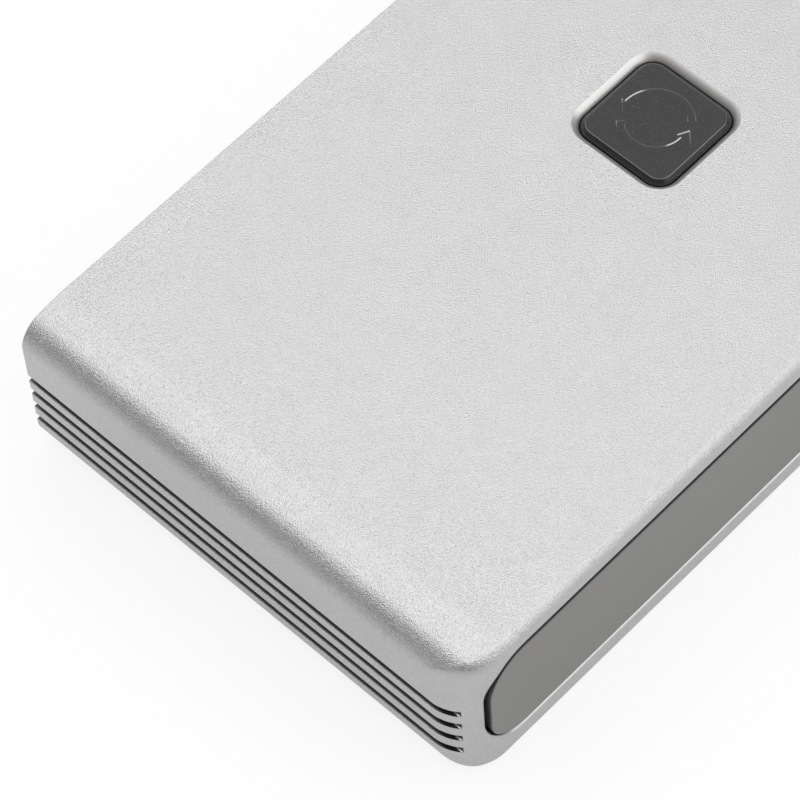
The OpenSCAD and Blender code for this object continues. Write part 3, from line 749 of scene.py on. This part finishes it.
for socket in sockets[:3]:
    figure = bpy.data.curves.new("figure", "FONT")
    figure.body = socket[-1]
    figure.size = font_size
    figure.align_x = "CENTER"
    figure.align_y = "CENTER"
    drawn = bpy.data.objects.new("figure", figure)
    scene.collection.objects.link(drawn)
    outline = bpy.data.meshes.new_from_object(drawn.evaluated_get(bpy.context.evaluated_depsgraph_get()))
    bm = bmesh.new()
    bm.from_mesh(outline)
    bpy.data.objects.remove(drawn)
    bpy.data.meshes.remove(outline)
    printed(socket + "_number", bm, socket)

bm = bmesh.new()
flat_face(bm, [(-print_h / 2, -print_h / 2, 0), (print_h / 2, -print_h / 2, 0), (0, print_h / 2, 0)])
printed("output_mark", bm, "output")


# Front panel stack: a black carrier with four clear light guides, a border of foam tape and a smoked,
# polished acrylic strip that is stuck into the mouth of the sleeve.

clear_plastic = Finish("clear_acrylic", IOR=1.49, Transmission_Weight=0.9)
clear_plastic.feed("Base Color", clear_plastic.blend(
    clear_plastic.grain(1 * mm), colour(0.85, 0.88, 0.9), colour(0.93, 0.95, 0.96)))
clear_plastic.feed("Roughness", 0.05 + 0.08 * clear_plastic.grain(0.4 * mm))
foam_tape = mottled("foam_tape", grey(0.015), grey(0.03),
                    size=0.25 * mm, rough=(0.8, 0.95), depth=0.03 * mm)
dress(black_plastic, "panel_carrier")
dress(clear_plastic.material, "light_guides")
dress(foam_tape, "panel_tape")

panel_low, panel_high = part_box("front_panel")
panel_gap = mouth_half - panel_high.x
panel_edge_r = 0.12 * mm
bm = bmesh.new()
strip = flat_face(bm, [(panel_low.x, panel_low.y, panel_low.z), (panel_high.x, panel_low.y, panel_low.z),
                       (panel_high.x, panel_low.y, panel_high.z), (panel_low.x, panel_low.y, panel_high.z)])
round_corners(bm, strip, mouth_r - panel_gap, segments=24)
draw_out(bm, (0, panel_high.y - panel_low.y, 0))
smoked = Finish("smoked_panel", IOR=1.49)
haze = smoked.grain(9 * mm)
smoked.feed("Base Color", smoked.blend(haze, colour(0.112, 0.11, 0.104), colour(0.126, 0.124, 0.117)))
smoked.feed("Roughness", 0.07 + 0.05 * smoked.grain(2 * mm))
panel_black = mottled("panel_edge_black", grey(0.04), grey(0.06),
                      size=0.4 * mm, rough=(0.3, 0.45), depth=0.004 * mm)
for face in bm.faces:
    face.material_index = 1 if face.normal.y > -0.5 else 0
panel = shape("front_panel_smoked", bm, smoked.material, panel_black)
soften(panel, panel_edge_r)
fit(panel, "case", "smoked_panel", "front_panel")


# Feet: four round pads, die-cut from black rubber sheet.
# They are stuck into shallow seats in the sleeve's underside.

foot_edge_r = 0.3 * mm
foot_rubber = mottled("foot_rubber", grey(0.014), grey(0.028),
                      size=0.3 * mm, rough=(0.75, 0.9), depth=0.03 * mm)
for name in feet:
    low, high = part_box(name)
    bm = bmesh.new()
    bmesh.ops.create_circle(bm, cap_ends=True, segments=64, radius=(high.x - low.x) / 2,
                            matrix=Matrix.Translation(((low.x + high.x) / 2, (low.y + high.y) / 2, low.z)))
    draw_out(bm, (0, 0, high.z - low.z))
    foot = shape(name + "_rubber", bm, foot_rubber)
    soften(foot, foot_edge_r)
    fit(foot, "case", "foot_rubber", name)


# Stage: a plain white floor that keeps the object's soft shadow, lit by a large soft box overhead
# and a smaller one at the front. The camera and polished surfaces see the floor as nearly white.

floor_reach = 3.0
floor_drop = 0.02 * mm
white_share = 0.85
mirrored_share = 0.6
world_level = 0.27

bm = bmesh.new()
bmesh.ops.create_circle(bm, cap_ends=True, segments=64, radius=floor_reach,
                        matrix=Matrix.Translation((0, 0, -floor_drop)))
floor_white = Finish("floor_white", Roughness=0.9)
floor_white.feed("Base Color", floor_white.blend(floor_white.grain(0.2), grey(0.9), grey(0.92)))
path = floor_white.tree.nodes.new("ShaderNodeLightPath")
camera_ray, glossy_ray, clear_ray = (Wire(floor_white.tree, path.outputs[ray])
                                     for ray in ("Is Camera Ray", "Is Glossy Ray", "Is Transmission Ray"))
seen = camera_ray + mirrored_share * (glossy_ray + clear_ray)
glow = seen.node("ShaderNodeEmission", {}, {"Color": grey(1), "Strength": 1.0})
shaded = Wire(floor_white.tree, floor_white.shader.outputs["BSDF"])
mixed = seen.node("ShaderNodeMixShader", {}, {0: white_share * seen, 1: shaded, 2: glow})
surface = floor_white.tree.nodes["Material Output"].inputs["Surface"]
floor_white.tree.links.new(mixed.socket, surface)
floor = shape("floor", bm, floor_white.material)


def soft_box(name, towards, distance, width, height, radiance):
    """An area lamp that faces the origin, as bright as a white card of this radiance."""
    lamp = bpy.data.lights.new(name, "AREA")
    lamp.shape = "RECTANGLE"
    lamp.size = width
    lamp.size_y = height
    lamp.energy = radiance * math.pi * width * height
    made = bpy.data.objects.new(name, lamp)
    direction = Vector(towards).normalized()
    made.location = direction * distance
    made.rotation_euler = direction.to_track_quat("Z", "Y").to_euler()
    scene.collection.objects.link(made)


soft_box("top_soft_box", towards=(0.13, 0.3, 0.95), distance=0.8, width=1.4, height=1.3, radiance=1.58)
soft_box("front_soft_box", towards=(0.3, -0.75, 0.6), distance=0.8, width=0.9, height=0.8, radiance=1.4)
world = bpy.data.worlds.new("studio")
world.use_nodes = True
world.node_tree.nodes["Background"].inputs["Color"].default_value = grey(world_level)
scene.world = world
scene.view_settings.view_transform = "Standard"


# Camera: a long lens over the front left corner, turned a little.
# Its place was fitted to the photograph's straight edges, so that the framing agrees.

frame_px = 800
focal_px = 4428.3
azimuth = math.radians(42.685)
elevation = math.radians(57.71)
roll = math.radians(4.64)
camera_distance = 428.8 * mm
looked_at = Vector((-41.41, -3.68, 20.8)) * mm
camera = bpy.data.cameras.new("camera")
camera.sensor_width = 36
camera.lens = focal_px / frame_px * camera.sensor_width
camera.clip_start = 10 * mm
back = Vector((-math.sin(azimuth) * math.cos(elevation), -math.cos(azimuth) * math.cos(elevation),
               math.sin(elevation)))
sideways = Vector((0, 0, 1)).cross(back).normalized()
upwards = back.cross(sideways)
turned_side = sideways * math.cos(roll) - upwards * math.sin(roll)
turned_up = upwards * math.cos(roll) + sideways * math.sin(roll)
stand = Matrix((turned_side, turned_up, back)).transposed().to_4x4()
stand.translation = looked_at + back * camera_distance
viewer = bpy.data.objects.new("camera", camera)
viewer.matrix_world = stand
scene.collection.objects.link(viewer)
scene.camera = viewer
